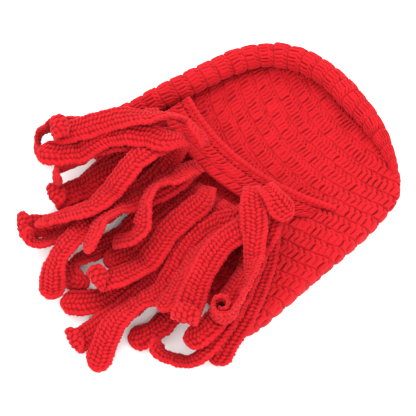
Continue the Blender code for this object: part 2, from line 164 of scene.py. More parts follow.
def half_width(y):
    """Half the hat's width at this distance from the neck edge."""
    y = np.asarray(y, float)
    straight = NECK_HALF_WIDTH - SIDE_TAPER * np.clip(y, 0.0, None)
    along = np.clip((y - DOME_START) / (HAT_LENGTH - DOME_START), 0.0, 1.0)
    return straight * (1.0 - along**DOME_POWER) ** (1.0 / DOME_POWER)


def outline_point(degrees, inset):
    """A point on the crown's rounded outline: 0 is the near side, 180 the far side."""
    angle = math.radians(degrees)
    power = 2.0 / DOME_POWER
    depth = HAT_LENGTH - DOME_START - inset
    y = DOME_START + depth * abs(math.sin(angle)) ** power
    straight = NECK_HALF_WIDTH - SIDE_TAPER * y - inset
    x = math.copysign(straight * abs(math.cos(angle)) ** power, math.cos(angle))
    return x, y


def side_point(y, side, inset):
    """A point this far in from the hat's straight side: side is 1 near, -1 far."""
    return side * (float(half_width(y)) - inset), y


def mask_top(x):
    """The curved upper edge of the mask band, as a distance from the neck edge."""
    return MASK_TOP_LOW + MASK_TOP_RISE * (x - MASK_TOP_CENTRE_X) ** 2


def mask_height(x):
    """Height of the mask band's middle surface: it hangs from the rim down to the near cheek."""
    share = (x - MASK_FAR_X) / (MASK_NEAR_X - MASK_FAR_X)
    return MASK_FAR_Z + (MASK_NEAR_Z - MASK_FAR_Z) * share


def distances(points):
    """How far along the line each of its points lies."""
    return np.concatenate([[0.0], np.cumsum(np.linalg.norm(np.diff(points, axis=0), axis=1))])


def smooth_route(corners, step):
    """Evenly spaced points on a smooth curve through the corners."""
    knots = np.asarray(corners, float) * MM
    ends = np.vstack([2 * knots[0] - knots[1], knots, 2 * knots[-1] - knots[-2]])
    dense = []
    for i in range(1, len(ends) - 2):
        before, here, there, after = ends[i - 1 : i + 3]
        for t in np.arange(0.0, 1.0, 0.05):
            slope = there - before
            bend = 2 * before - 5 * here + 4 * there - after
            turn = 3 * here - before - 3 * there + after
            dense.append(0.5 * (2 * here + slope * t + bend * t**2 + turn * t**3))
    dense.append(knots[-1])
    dense = np.array(dense)
    gone = distances(dense)
    count = max(int(round(gone[-1] / step)), 2)
    at = np.linspace(0.0, gone[-1], count + 1)
    return np.column_stack([np.interp(at, gone, dense[:, k]) for k in (0, 1)])


def with_tip(flat, rolls, tip, step):
    """Adds the tip: plan points, heading, pitch, height above the strip's end, roll."""
    ahead = np.gradient(flat, axis=0)
    heading = np.unwrap(np.arctan2(ahead[:, 1], ahead[:, 0]))
    rise = np.zeros(len(flat))
    pitch = np.zeros(len(flat))
    if tip is None:
        return flat, heading, pitch, rise, rolls
    places, headings, pitches, rises = [flat[-1]], [heading[-1]], [0.0], [0.0]
    total = math.radians(tip[-1])
    first = tip[1] * MM
    last = (tip[2] if tip[0] == "curl" else tip[1] * 0.62) * MM
    length = 0.5 * (first + last) * abs(total)
    count = max(int(round(length / step)), 5)
    for i in range(count):
        share = (i + 0.5) / count
        turn = total / count * (0.5 * (first + last)) / (first + (last - first) * share)
        forward = np.array([math.cos(headings[-1]), math.sin(headings[-1])])
        part = length / count
        if tip[0] == "curl":
            angle = headings[-1] + turn / 2
            forward = np.array([math.cos(angle), math.sin(angle)])
            places.append(places[-1] + forward * part)
            headings.append(headings[-1] + turn)
            pitches.append(0.0)
            rises.append(0.0)
        else:
            angle = pitches[-1] + turn / 2
            places.append(places[-1] + forward * part * math.cos(angle))
            headings.append(headings[-1])
            pitches.append(pitches[-1] + turn)
            rises.append(rises[-1] + part * math.sin(angle))
    flat = np.vstack([flat, places[1:]])
    heading = np.concatenate([heading, headings[1:]])
    pitch = np.concatenate([pitch, pitches[1:]])
    rise = np.concatenate([rise, rises[1:]])
    rolls = np.concatenate([rolls, np.full(count, rolls[-1])])
    return flat, heading, pitch, rise, rolls


def cells(x, y):
    """The height field's cells at these places."""
    column = np.clip(((x - FIELD_X[0]) / CELL).astype(int), 1, field.shape[0] - 2)
    row = np.clip(((y - FIELD_Y[0]) / CELL).astype(int), 1, field.shape[1] - 2)
    return column, row


def hat_heights():
    """Height of the hat's own upper surface over the table."""
    columns = int((FIELD_X[1] - FIELD_X[0]) / CELL)
    rows = int((FIELD_Y[1] - FIELD_Y[0]) / CELL)
    x, y = np.meshgrid(
        FIELD_X[0] + CELL * (np.arange(columns) + 0.5),
        FIELD_Y[0] + CELL * (np.arange(rows) + 0.5),
        indexing="ij",
    )
    edge = half_width(y)
    inside = (y > -CELL) & (y < HAT_LENGTH) & (np.abs(x) < edge + CELL)
    height = np.where(inside, FABRIC, 0.0)
    cheek = inside & (x > CHEEK_INNER_X - CELL) & (y < CHEEK_TOP_Y)
    height = np.where(cheek, 2 * FABRIC + GAP, height)
    fold = (y > -CELL) & (y < DOME_START) & (x < 2 * RIM_RADIUS - edge + CELL) & inside
    height = np.where(fold, FABRIC + GAP + 2 * RIM_RADIUS, height)
    band = (x > MASK_FAR_X) & (x < MASK_NEAR_X) & (y < mask_top(x) + CELL)
    band &= y > mask_top(x) - MASK_DEPTH - CELL
    height = np.where(band, mask_height(x) + MASK_THICKNESS / 2 + CELL / 2, height)
    return height


def half_widths(count, step):
    """Half the strip's width at each centre point: narrower at the root, round at the tip."""
    gone = np.arange(count) * step
    left = np.clip((gone[-1] - gone) / TIP_ROUNDING, 0.0, 1.0)
    tip = np.sqrt(np.clip(1.0 - (1.0 - left) ** 2, 0.12, 1.0))
    root = ROOT_SHARE + (1.0 - ROOT_SHARE) * np.clip(gone / ROOT_TAPER, 0.0, 1.0)
    return STRIP_WIDTH / 2 * np.minimum(tip, root)


def footprint(place, heading, roll, half_w):
    """Cells under one section of a strip, with its lower and upper surface there."""
    half_t = STRIP_THICKNESS / 2
    across = abs(half_w * math.cos(roll)) + abs(half_t * math.sin(roll))
    upright = abs(half_w * math.sin(roll)) + abs(half_t * math.cos(roll))
    offsets = np.arange(-across, across + CELL / 4, CELL / 2)
    lean = max(abs(math.cos(roll)), 0.05)
    middle = offsets * math.sin(roll) / lean
    lower = np.maximum(-upright, middle - half_t / lean)
    upper = np.minimum(upright, middle + half_t / lean)
    x = place[0] - math.sin(heading) * offsets
    y = place[1] + math.cos(heading) * offsets
    return cells(x, y), lower, upper


def lay(corners, rolls, tip):
    """Settles one strip on what lies below it. Returns its centre line and frames."""
    flat = smooth_route(corners, CELL)
    spread = np.linspace(0, 1, len(flat))
    turned = np.radians(np.interp(spread, np.linspace(0, 1, len(rolls)), rolls))
    lying = len(flat)
    flat, heading, pitch, rise, turned = with_tip(flat, turned, tip, CELL)
    half = half_widths(len(flat), CELL)
    needed = np.zeros(len(flat))
    for i in range(len(flat)):
        (column, row), lower, _ = footprint(flat[i], heading[i], turned[i], half[i])
        if pitch[i]:
            lower = -STRIP_THICKNESS / 2
        needed[i] = (field[column, row] - lower).max() + STRIP_GAP - rise[i]
    ball = tip is not None and tip[0] == "ball"
    base = needed[:lying].copy() if ball else needed.copy()
    if ball:
        base[-1] = max(base[-1], needed[lying:].max())
    gone = np.arange(len(base)) * CELL
    apart = gone[:, None] - gone[None, :]
    sag = np.sqrt(SETTLE_RADIUS**2 + (SETTLE_SLOPE * apart) ** 2) - SETTLE_RADIUS
    height = (base[None, :] - sag).max(axis=1)
    padded = np.concatenate([np.full(3, height[0]), height, np.full(3, height[-1])])
    eased = np.convolve(padded, np.full(7, 1 / 7), mode="valid")
    height = np.maximum(eased, base)
    if ball:
        height = np.concatenate([height, np.full(len(flat) - lying, height[-1])])
    height = height + rise
    for i in range(len(flat)):
        (column, row), _, upper = footprint(flat[i], heading[i], turned[i], half[i])
        if pitch[i]:
            upper = STRIP_THICKNESS / 2
        for across in (-1, 0, 1):
            for along in (-1, 0, 1):
                spot = (column + across, row + along)
                np.maximum.at(field, spot, height[i] + upper)
    return np.column_stack([flat, height]), heading, pitch, turned, half


def strip_sides(centre, heading, roll):
    """Unit vectors across the strip at each centre point."""
    along = np.gradient(centre, axis=0)
    along /= np.linalg.norm(along, axis=1)[:, None]
    level = np.column_stack([-np.sin(heading), np.cos(heading), np.zeros(len(heading))])
    out = np.cross(along, level)
    out /= np.linalg.norm(out, axis=1)[:, None]
    across = np.cos(roll)[:, None] * level + np.sin(roll)[:, None] * out
    normal = np.cross(along, across)
    normal /= np.linalg.norm(normal, axis=1)[:, None]
    return np.cross(normal, along)


# ---------------------------------------------------------------- stitches

# Spacing of the rounds, of the posts in them and of the rope's links, in mm
ROUND = 17.2
POST = 4.1
RIM_ROUND = 15.5
RIM_POST = 4.3
MASK_ROUND = 14.5
MASK_POST = 4.5
ROPE_LINK = 4.6

# Spacing of the meshes' points in m: strips and rope, then shell, rim and mask
FINE = 0.00065
PANEL_FINE = 0.0005


def bead(u, v, length, width):
    """Height, 0 to 1, of a long puff of yarn centred at u = v = 0."""
    return np.sqrt(np.clip(1.0 - (u / length) ** 2 - (v / width) ** 2, 0.0, 1.0))


def repeat(a, pitch):
    """Distance from the nearest multiple of the pitch, and that multiple's number."""
    number = np.round(a / pitch)
    return a - number * pitch, number


def lively(number, seed):
    """A steady random value, -1 to 1, for each stitch number."""
    return 2.0 * np.modf(np.abs(np.sin(number * 12.9898 + seed * 78.233) * 43758.5453))[0] - 1.0


def ripple(a, b, seed):
    """Slow smooth unevenness, -1 to 1, over a surface."""
    total = 0.0
    for k in range(1, 5):
        turn = seed * 1.7 + k * 2.4
        total = total + np.sin(a * math.cos(turn) * k + b * math.sin(turn) * k + turn * 3.1)
    return total / 4.0


def full(u, length, power):
    """Like a bead's profile, but staying high until near its ends."""
    return np.sqrt(np.clip(1.0 - np.abs(u / length) ** power, 0.0, 1.0))


def slanted(along, over, angle, length, width):
    """A bead that lies at this angle in degrees to the direction of over."""
    c = math.cos(math.radians(angle))
    s = math.sin(math.radians(angle))
    return bead(over * c + along * s, along * c - over * s, length, width)


def sag(x):
    """How far in mm the hat's rounds have slid up at its sides: they hang in shallow arcs."""
    far = np.clip(-x - 5.0, 0.0, None)
    near = np.clip(x + 5.0, 0.0, None)
    return 2.6e-3 * far**2 + 2.7e-3 * near**2


def post_count(x):
    """How many posts lie before this place across the hat: they grow chunkier on its near side."""
    places = np.linspace(-150.0, 150.0, 301)
    pitch = POST + 1.3 * np.clip((places - 20.0) / 60.0, 0.0, 1.0)
    return np.interp(x, places, np.cumsum(1.0 / pitch)), np.interp(x, places, pitch)


def stitched(count, off, course, pitch, depth, seed):
    """Surface of crocheted rounds, 1 where it stands out and lower in its slits and grooves.

    count is how many posts lie before a place, off and course its place in its round.
    """
    number = np.round(count)
    post = (count - number) * pitch
    push = lively(number + 31.0 * course, seed)
    jump = lively(number + 17.0 * course, seed + 4.0)
    side = np.sign(post)
    gap = lively(number + 0.5 * side + 0.5 + 7.0 * course, seed + 2.0)
    edge = 0.5 * pitch - np.abs(post)
    body = off + 0.11 * depth + 0.9 * gap
    slit = np.exp(-((edge / 0.95) ** 2)) * full(body, 0.30 * depth, 4.0) * (0.66 + 0.34 * gap)
    knot = off - 0.31 * depth + 0.5 * jump
    lean = post * 0.83 + knot * 0.56
    run = post * 0.56 - knot * 0.83
    dash = np.exp(-((lean / 0.95) ** 2)) * full(run, 0.42 * pitch + 0.6, 2.0)
    ply = np.exp(-(((post + 0.18 * body) / 0.45) ** 2)) * full(body, 0.36 * depth, 2.0)
    groove = np.exp(-(((0.5 * depth - np.abs(off)) / 1.15) ** 2)) * (0.78 + 0.22 * push)
    puff = full(post, 0.62 * pitch, 2.0)
    rough = ripple(count * pitch / 2.0, off / 2.0 + 3.0 * course, seed)
    top = 0.62 + 0.38 * puff + 0.06 * jump + 0.13 * rough
    top = top - 0.8 * slit - 0.8 * dash * (0.8 + 0.2 * push) - 0.16 * ply
    top = np.minimum(top, 1.0) - 0.62 * groove
    return np.clip(top, 0.0, 1.0)


def panel_stitches(x, y):
    """Relief on the hat's fabric, which also sets its painted shade in the slits and grooves: x, y
    in mm.
    """
    along = y - sag(x) + 1.7 * ripple(x / 30.0, y / 34.0, 3.0) + 0.7 * ripple(x / 6.0, y / 6.0, 7.0)
    off, course = repeat(along, ROUND)
    near = np.clip((x - 25.0) / 55.0, 0.0, 1.0)
    shift = 0.06 * off * (1.0 + 2.0 * near) + 1.1 * ripple(x / 19.0, y / 12.0, 5.0)
    shift = shift + 0.5 * ripple(x / 5.0, y / 4.0, 6.0)
    count, pitch = post_count(x + shift)
    return stitched(count + 0.5 * (course % 2), off, course, pitch, ROUND, 1.0)


# ---------------------------------------------------------------- meshes

def build(name, points, faces, painted_shade_height, material):
    """A smooth mesh in the frame's coordinates, with the height that sets its painted shade as a
    point attribute.
    """
    mesh = bpy.data.meshes.new(name)
    points = np.asarray(points, float).copy()
    points[:, 1] -= ORIGIN_FROM_NECK
    mesh.vertices.add(len(points))
    mesh.vertices.foreach_set("co", points.astype(np.float32).ravel())
    counts = np.array([len(f) for f in faces], np.int32)
    loops = np.concatenate([np.asarray(f, np.int32) for f in faces])
    starts = np.concatenate([[0], np.cumsum(counts)[:-1]]).astype(np.int32)
    mesh.loops.add(len(loops))
    mesh.loops.foreach_set("vertex_index", loops)
    mesh.polygons.add(len(counts))
    mesh.polygons.foreach_set("loop_start", starts)
    mesh.polygons.foreach_set("loop_total", counts)
    mesh.update(calc_edges=True)
    mesh.validate()
    mesh.polygons.foreach_set("use_smooth", np.ones(len(mesh.polygons), bool))
    layer = mesh.attributes.new("painted_shade_height", "FLOAT", "POINT")
    layer.data.foreach_set("value", np.clip(painted_shade_height, 0.0, 1.0).astype(np.float32))
    mesh.materials.append(material)
    thing = bpy.data.objects.new(name, mesh)
    bpy.context.scene.collection.objects.link(thing)
    return thing


def loft(rings, count):
    """Quads between closed rings of this many points, numbered ring by ring."""
    ring = np.arange(rings - 1)[:, None] * count
    here = np.arange(count)[None, :]
    there = (here + 1) % count
    corners = (ring + here, ring + there, ring + count + there, ring + count + here)
    return np.stack([c.ravel() for c in corners], axis=1)


def closed_tube(name, rings, painted_shade_height, material):
    """A mesh from an array of rings (ring, point, xyz), with a point closing each end."""
    rings = np.asarray(rings)
    count = rings.shape[1]
    first = rings[0].mean(axis=0)
    last = rings[-1].mean(axis=0)
    points = np.vstack([rings.reshape(-1, 3), first, last])
    total = len(rings) * count
    here = np.arange(count)
    there = (here + 1) % count
    start = np.stack([there, here, np.full(count, total)], axis=1)
    base = (len(rings) - 1) * count
    end = np.stack([base + here, base + there, np.full(count, total + 1)], axis=1)
    quads = loft(len(rings), count)
    faces = list(quads) + list(start) + list(end)
    # The tube's two end points get a middle painted shade
    shade_values = np.concatenate([painted_shade_height.ravel(), [0.5, 0.5]])
    return build(name, points, faces, shade_values, material)


def evenly(points, extra, step):
    """Resamples a line, and columns that go with it, at this step, after a light smoothing."""
    gone = distances(points)
    count = max(int(round(gone[-1] / step)), 8)
    at = np.linspace(0.0, gone[-1], count + 1)
    line = np.column_stack([np.interp(at, gone, points[:, k]) for k in range(3)])
    rest = [np.interp(at, gone, column) for column in extra]
    width = 7
    for k in range(3):
        ends = np.pad(line[:, k], width // 2, mode="edge")
        soft = np.convolve(ends, np.full(width, 1.0 / width), mode="valid")
        line[2:-2, k] = soft[2:-2]
    return line, rest, at


def unit(vectors):
    """The same directions, one long."""
    return vectors / np.maximum(np.linalg.norm(vectors, axis=-1, keepdims=True), 1e-12)


def around(line, inward, out, radius, theta):
    """Rings round a line, at these radii in mm and angles."""
    return (
        line[:, None, :]
        + inward[:, None, :] * (radius * np.cos(theta) * MM)[..., None]
        + out[:, None, :] * (radius * np.sin(theta) * MM)[..., None]
    )


def dome(share):
    """A quarter circle's height, for a share 0 to 1 of the way in from an edge."""
    return np.sqrt(1.0 - (1.0 - share) ** 2)


# ---------------------------------------------------------------- materials

def yarn(name, bright, shade_colour):
    """Matt soft yarn: painted shade in the gaps where the stitch height is low, with fine fibres and
    a slight unevenness of dye.
    """
    material = bpy.data.materials.new(name)
    material.use_nodes = True
    nodes = material.node_tree.nodes
    links = material.node_tree.links
    shader = nodes["Principled BSDF"]
    shader.inputs["Roughness"].default_value = 0.9
    shader.inputs["Specular IOR Level"].default_value = 0.12
    shader.inputs["Sheen Weight"].default_value = 0.085
    shader.inputs["Sheen Roughness"].default_value = 0.55
    shader.inputs["Sheen Tint"].default_value = (1.0, 0.42, 0.45, 1.0)
    where = nodes.new("ShaderNodeTexCoord")
    fibre = nodes.new("ShaderNodeTexNoise")
    fibre.inputs["Scale"].default_value = 620.0
    fibre.inputs["Detail"].default_value = 3.0
    links.new(where.outputs["Object"], fibre.inputs["Vector"])
    dye = nodes.new("ShaderNodeTexNoise")
    dye.inputs["Scale"].default_value = 60.0
    dye.inputs["Detail"].default_value = 2.0
    links.new(where.outputs["Object"], dye.inputs["Vector"])
    # Painted shade: the ramp darkens the yarn from its bright colour to a shade colour where the
    # stitch height is low
    shade_input = nodes.new("ShaderNodeAttribute")
    shade_input.attribute_name = "painted_shade_height"
    ramp = nodes.new("ShaderNodeValToRGB")
    ramp.color_ramp.elements[0].position = 0.12
    ramp.color_ramp.elements[0].color = (*shade_colour, 1.0)
    ramp.color_ramp.elements[1].position = 0.72
    ramp.color_ramp.elements[1].color = (*bright, 1.0)
    links.new(shade_input.outputs["Fac"], ramp.inputs["Fac"])
    tone = nodes.new("ShaderNodeHueSaturation")
    spread = nodes.new("ShaderNodeMapRange")
    spread.inputs["To Min"].default_value = 0.76
    spread.inputs["To Max"].default_value = 1.20
    mixed = nodes.new("ShaderNodeMath")
    mixed.operation = "ADD"
    links.new(fibre.outputs["Fac"], mixed.inputs[0])
    links.new(dye.outputs["Fac"], mixed.inputs[1])
    half = nodes.new("ShaderNodeMath")
    half.operation = "MULTIPLY"
    half.inputs[1].default_value = 0.5
    links.new(mixed.outputs[0], half.inputs[0])
    links.new(half.outputs[0], spread.inputs["Value"])
    links.new(spread.outputs["Result"], tone.inputs["Value"])
    links.new(ramp.outputs["Color"], tone.inputs["Color"])
    links.new(tone.outputs["Color"], shader.inputs["Base Color"])
    bump = nodes.new("ShaderNodeBump")
    bump.inputs["Strength"].default_value = 0.5
    bump.inputs["Distance"].default_value = 0.0011
    links.new(fibre.outputs["Fac"], bump.inputs["Height"])
    links.new(bump.outputs["Normal"], shader.inputs["Normal"])
    return material


# Linear colours: the yarn where it stands out, then the painted shade in the strips' gaps and in the
# hat's gaps
BRIGHT = (0.462, 0.0066, 0.0118)
TENTACLE_GAP_SHADE = (0.24, 0.0010, 0.0030)
HAT_GAP_SHADE = (0.215, 0.0007, 0.0026)
hat_yarn = yarn("hat_yarn", BRIGHT, HAT_GAP_SHADE)
rim_yarn = yarn("rim_yarn", BRIGHT, HAT_GAP_SHADE)
mask_yarn = yarn("mask_yarn", BRIGHT, HAT_GAP_SHADE)
tentacle_yarn = yarn("tentacle_yarn", BRIGHT, TENTACLE_GAP_SHADE)


# ---------------------------------------------------------------- tentacles

# Spacing of a strip's stitches along it and how far they stand out, in mm
PITCH = 3.9
PUFF = 1.85

# Its lengthwise rows: distance from the middle in mm, slant in degrees, stitch length in mm
LANES = ((0.0, 28.0, 2.9), (4.7, -30.0, 2.9), (-4.7, -30.0, 2.9))

# Length of the end over which it widens a little, and its least half width, in mm
TIP_ZONE = 26.0
LEAST_HALF_WIDTH = 6.5

# Lowest height of a strip's underside, in m
STRIP_FLOOR = 0.0004

# Where the flat middle of a strip's section ends, as a share of its half width
SECTION_FLAT = 0.74

# In the strip functions a is the distance along in mm, s the share across from -1 to 1, y the
# distance across in mm and w the half width in mm. side is 1 on the upper face, -1 on the lower.


def strip_section(step):
    """Places across a strip, -1 to 1, close together where it turns over at its edges."""
    middle = np.arange(-SECTION_FLAT, SECTION_FLAT + 0.0001, step / 12.0)
    turn = np.linspace(0, math.pi / 2, max(int(4.4 / step), 6))[1:]
    edge = SECTION_FLAT + (1.0 - SECTION_FLAT) * np.sin(turn)
    return np.concatenate([-edge[::-1], middle, edge])


def strip_relief(a, s, w, side, seed):
    """Half thickness in mm of a strip at a along and s across, and the stitch height that sets its
    painted shade.
    """
    y = s * w
    a = a + 0.75 * ripple(a / 3.4, y / 3.4, seed + 2.0)
    y = y + 0.65 * ripple(y / 3.8, a / 3.8, seed + 6.0)
    tall = 0.0
    for where, angle, length in LANES:
        spread = where * np.clip(w / 11.0, 0.45, 1.1)
        tall = np.maximum(tall, lane_at(a, y, seed + side, spread, angle * side, length))
    rope = rope_at(a, y, w, side, seed)
    tall = np.maximum(tall, rope)
    body = np.sqrt(np.clip(1.0 - np.abs(s) ** 4.0, 0.0, 1.0))
    rough = 0.16 * ripple(a / 1.7, y / 1.7, seed + 3.0 * side)
    thick = body * (1.55 + PUFF * (tall + rough))
    return thick, tall


def lane_at(a, y, seed, where, angle, length):
    """A lengthwise row of slanted stitches, at this distance (mm, may vary) from the middle."""
    mark = float(np.sign(np.mean(where)))
    off, number = repeat(a + 0.5 * PITCH * abs(mark) + 0.6 * ripple(a / 9.0, mark, seed), PITCH)
    push = lively(number, seed + 3.0 * mark)
    turned = angle if mark >= 0 else -angle
    tall = 0.0
    for step in (-PITCH, 0.0, PITCH):
        found = slanted(off + step, y - where - 0.45 * push, turned, length, 0.46 * PITCH)
        tall = np.maximum(tall, found)
    return tall * (0.91 + 0.14 * push)


def rope_at(a, y, w, side, seed):
    """The twisted chain along each edge of a strip."""
    edge = np.abs(y) - (w - 1.9)
    place = a + 0.5 * edge * side + 0.9 * np.sign(y) + 0.5 * ripple(a / 8.0, 1.0, seed)
    off, number = repeat(place, PITCH)
    push = lively(number, seed + np.sign(y) * 5.0)
    return bead(edge * 0.9, off + 0.25 * edge, 2.7, 0.54 * PITCH) * (0.98 + 0.08 * push)


def knobbly(a, sign, seed):
    """How far in mm a strip's edge bulges out at each edge stitch."""
    off, number = repeat(a + 0.9 * sign + 0.5 * ripple(a / 8.0, 1.0, seed), PITCH)
    return 1.8 * full(off, 0.56 * PITCH, 2.0) - 1.1 + 0.5 * lively(number, seed + sign)


def strip_reach(a, s, w, seed):
    """How far in mm each place lies across from the centre line, and the strip's half width."""
    near_tip = np.clip((a - (a[-1, 0] - TIP_ZONE)) / TIP_ZONE, 0.0, 1.0)
    wide = np.maximum(w[:, None] * (1.14 + 0.06 * near_tip), LEAST_HALF_WIDTH)
    wide = wide * (1.0 + 0.08 * ripple(a / 12.0, 0.0, seed))
    bulge = np.where(s > 0, knobbly(a, 1.0, seed), knobbly(a, -1.0, seed))
    return s * wide + np.sign(s) * np.abs(s) ** 5 * bulge, wide


def strip_bend(a, s, roll, seed):
    """How far in mm the strip stands off its centre line: bowed, swaying and sunk at its root."""
    flat = np.abs(np.cos(roll))[:, None]
    bow = (2.1 + 0.8 * ripple(a / 23.0, 2.0, seed)) * flat * np.clip(a / 14.0, 0.0, 1.0)
    sway = 1.1 * ripple(a / 6.5, s * 0.9, seed + 4.0)
    sunk = 5.0 * np.clip(1.0 - a / 13.0, 0.0, 1.0) ** 2
    return bow * (0.55 - s ** 2) + sway - sunk


def strip_piece(name, centre, heading, roll, half, seed):
    """One tentacle: a section with stitches on both faces, swept along its centre line.

    Returns the object and the strip's length.
    """
    line, (h, r, w), at = evenly(centre, (heading, roll, half * TO_MM), FINE)
    across = strip_sides(line, h, r)
    along = unit(np.gradient(line, axis=0))
    normal = unit(np.cross(along, across))
    s = strip_section(FINE * TO_MM)[None, :]
    a = at[:, None] * TO_MM
    tip = np.clip((a[-1, 0] - a) / 6.0, 0.0, 1.0)
    taper = np.maximum(np.sqrt(np.clip(1.0 - (1.0 - tip) ** 2, 0.0, 1.0)), 0.05) ** 0.6
    back = np.clip(a / 2.0, 0.4, 1.0)
    middle = strip_bend(a, s, r, seed)
    reach, wide = strip_reach(a, s, w, seed)
    up = np.where(normal[:, 2:3] < 0.0, -1.0, 1.0)
    rings, shade_values = [], []
    for side in (1.0, -1.0):
        thick, tall = strip_relief(a, s, wide, side, seed)
        lift = middle * up + side * (thick * taper * back)
        row = (
            line[:, None, :]
            + across[:, None, :] * (reach * taper * MM)[..., None]
            + normal[:, None, :] * (lift * MM)[..., None]
        )
        rings.append(row if side > 0 else row[:, -2:0:-1])
        shade_values.append(tall if side > 0 else tall[:, -2:0:-1])
    rings = np.concatenate(rings, axis=1)
    shade_values = np.concatenate(shade_values, axis=1)
    rings[..., 2] = np.maximum(rings[..., 2], STRIP_FLOOR)
    # Painted shade follows the stitch height on both faces, darkest between the stitches
    return closed_tube(name, rings, 0.08 + 0.92 * shade_values, tentacle_yarn), at[-1]


# ---------------------------------------------------------------- hat

# The rim thins out from the first of these angles on the crown and ends at the second, in degrees
RIM_THIN_ANGLE = 92.0
RIM_LAST_ANGLE = 46.0

# Width over which the shell's points are spread, and of its rounded border, in m
SHELL_SPAN = 0.27
ROUND_OVER = 0.0105

# Middle of the shell's flat underside, and its rings as shares of the way out from there
UNDERSIDE_MIDDLE = (0.0, 0.11, 0.0)
UNDERSIDE_RINGS = (0.985, 0.93, 0.7, 0.35)


def rim_route():
    """Centre line and radius of the rolled rim, from the neck up the far side and over the crown."""
    points, radii = [], []
    for y in np.linspace(0.004, DOME_START, 40)[:-1]:
        scale = np.interp(y, (0.0, RIM_START_Y), (FOLD_NECK_SCALE, 1.0))
        points.append(side_point(y, -1, RIM_RADIUS * scale))
        radii.append(RIM_RADIUS * scale)
    for angle in np.linspace(180, RIM_LAST_ANGLE, 90):
        share = np.clip((angle - RIM_THIN_ANGLE) / (RIM_END_ANGLE - RIM_THIN_ANGLE), 0.0, 1.7)
        radius = RIM_RADIUS * (1.0 - 0.36 * share**1.4)
        points.append(outline_point(angle, radius * 1.02))
        radii.append(radius)
    points = np.array(points)
    radii = np.array(radii)
    height = FABRIC + GAP + radii - np.clip((RIM_RADIUS - radii) * 0.45, 0.0, None)
    return np.column_stack([points, height]), radii


def rim_piece():
    """The rolled rim: a thick roll of fabric in rounds, tapered and closed at both ends."""
    points, radii = rim_route()
    line, (r,), at = evenly(points, (radii,), PANEL_FINE)
    along = unit(np.gradient(line, axis=0))
    inward = unit(np.cross(along, (0.0, 0.0, 1.0)))
    out = np.cross(inward, along)
    sides = int(2 * math.pi * RIM_RADIUS / PANEL_FINE)
    theta = np.linspace(0, 2 * math.pi, sides, endpoint=False)[None, :]
    a = at[:, None] * TO_MM
    girth = theta * 12.5
    place = a + 1.6 * np.sin(theta) + 1.3 * ripple(a / 30.0, theta, 2.0)
    off, number = repeat(place, RIM_ROUND)
    swell = full(off, 0.53 * RIM_ROUND, 3.0)
    turn = girth + 0.16 * off * np.cos(2.0 * number) + 0.9 * ripple(a / 7.0, theta * 2, 6.0)
    count = turn / RIM_POST + 0.5 * (number % 2)
    top = stitched(count, off, number, RIM_POST, RIM_ROUND, 3.0)
    lump = 0.5 * lively(number, 9.0) + 0.5 * ripple(a / 13.0, theta, 7.0)
    fine = np.clip(r[:, None] / 0.009, 0.25, 1.0)
    radius = r[:, None] * TO_MM * (0.86 + 0.07 * swell) + fine * (1.1 * lump + (top - 0.6) * 2.6)
    ends = np.minimum(a, a[-1] - a) / 6.0
    radius = radius * np.sqrt(np.clip(1.0 - (1.0 - np.clip(ends, 0.0, 1.0)) ** 2, 0.03, 1.0))
    rings = around(line, inward, out, radius, theta)
    # The stitch height also sets the rim's painted shade
    return closed_tube("rolled_rim", rings[:, ::-1], top[:, ::-1], rim_yarn)


def gently(share):
    """A share, kept to 0 to 1, that starts and ends with no slope."""
    kept = np.clip(share, 0.0, 1.0)
    return kept * kept * (3 - 2 * kept)


def shell_base(x, y):
    """Height in mm of the hat's upper surface, without stitches.

    It rises at the near cheek, along the foot of the far roll and towards the crown.
    """
    near = gently((x - 0.048) / 0.040)
    top = gently((0.222 - y) / 0.075)
    rise = 8.0 * near * top
    edge = half_width(y)
    from_far = (x + edge) * TO_MM
    lip = np.exp(-(((from_far - 29.0) / 9.0) ** 2)) * 3.0
    crown = np.clip((y - 0.195) / 0.04, 0.0, 1.0) * 3.0 * (1 - near)
    return 7.0 + rise + lip + crown + 0.8 * ripple(x / 0.05, y / 0.05, 8.0)


def shell_outline(share, y):
    """Distance across of each place, from its share across, -1 to 1, and its distance along."""
    near = share > 0
    neck = np.clip(1.0 - y / 0.03, 0.0, 1.0)
    corner = np.exp(-(((y - 0.222) / 0.022) ** 2)) * near
    x = share * half_width(y) * (1.0 - 0.075 * neck**2 * near) + 0.007 * corner * share**2
    off, _ = repeat(y * TO_MM - sag(x * TO_MM), ROUND)
    bulge = np.sqrt(np.clip(1.0 - (np.abs(off) / 8.7) ** 2.6, 0.0, 1.0)) * 2.0 - 1.6
    return x + np.sign(share) * np.abs(share) ** 6 * bulge * MM


